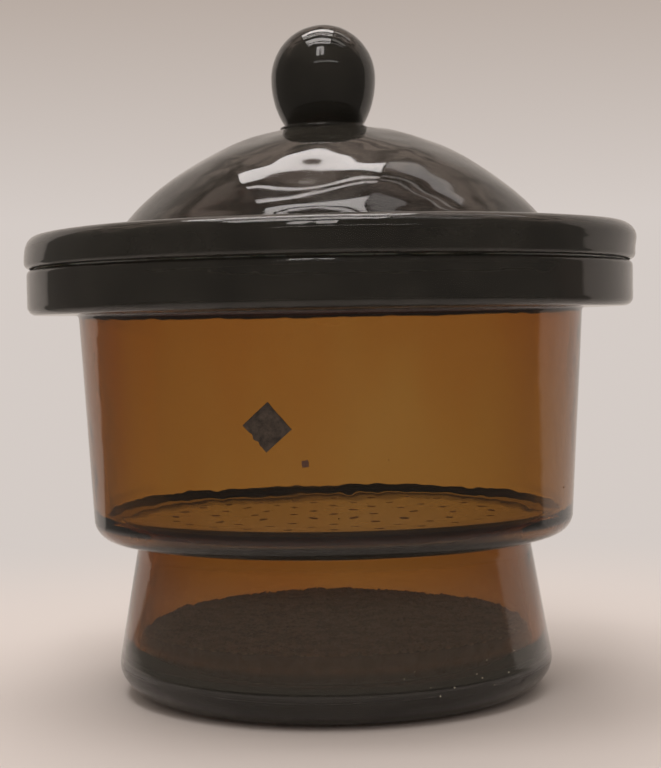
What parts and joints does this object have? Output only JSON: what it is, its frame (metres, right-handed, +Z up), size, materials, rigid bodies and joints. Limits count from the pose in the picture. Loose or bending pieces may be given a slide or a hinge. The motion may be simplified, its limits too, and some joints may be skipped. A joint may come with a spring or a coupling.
{
  "type": "glass desiccator",
  "caption": "Footed amber glass desiccator with a ground flange, a greased domed lid with a ball knob, a perforated plate on the inner ledge and desiccant in the foot.",
  "frame": {"origin": "centre of the plane that the foot's resting ring stands on", "axes": "+Z up along the glass's turning axis; the stickers face -Y; the lid slides along X"},
  "size_m": [0.2728, 0.2728, 0.2991],
  "materials": {
    "amber_glass": "clear blown glass, fire-polished, with a ground flange face",
    "dark_amber_glass": "thick amber glass that looks nearly black",
    "grease": "translucent vacuum grease",
    "porcelain": "white glazed porcelain",
    "silica_gel": "dull dark granules",
    "sticker_paper": "faded printed label, blank",
    "scrap_paper": "brown scrap of an old label"
  },
  "bodies": {
    "vessel": {"vessel": "amber_glass", "desiccant_bed": "silica_gel", "diamond_sticker": "sticker_paper", "sticker_scrap": "scrap_paper"},
    "grease": {"grease_film": "grease"},
    "lid": {"lid": "dark_amber_glass", "lid_knob": "dark_amber_glass"},
    "plate": {"porcelain_plate": "porcelain"}
  },
  "joints": [
    {"name": "lid_slide", "type": "slide", "parent": "vessel", "child": "grease", "axis": [1, 0, 0], "range_m": [0, 0.12]},
    {"name": "lid_lift", "type": "slide", "parent": "grease", "child": "lid", "axis": [0, 0, 1], "range_m": [0, 0.25]},
    {"name": "plate_lift", "type": "slide", "parent": "vessel", "child": "plate", "axis": [0, 0, 1], "range_m": [0, 0.1]}
  ]
}
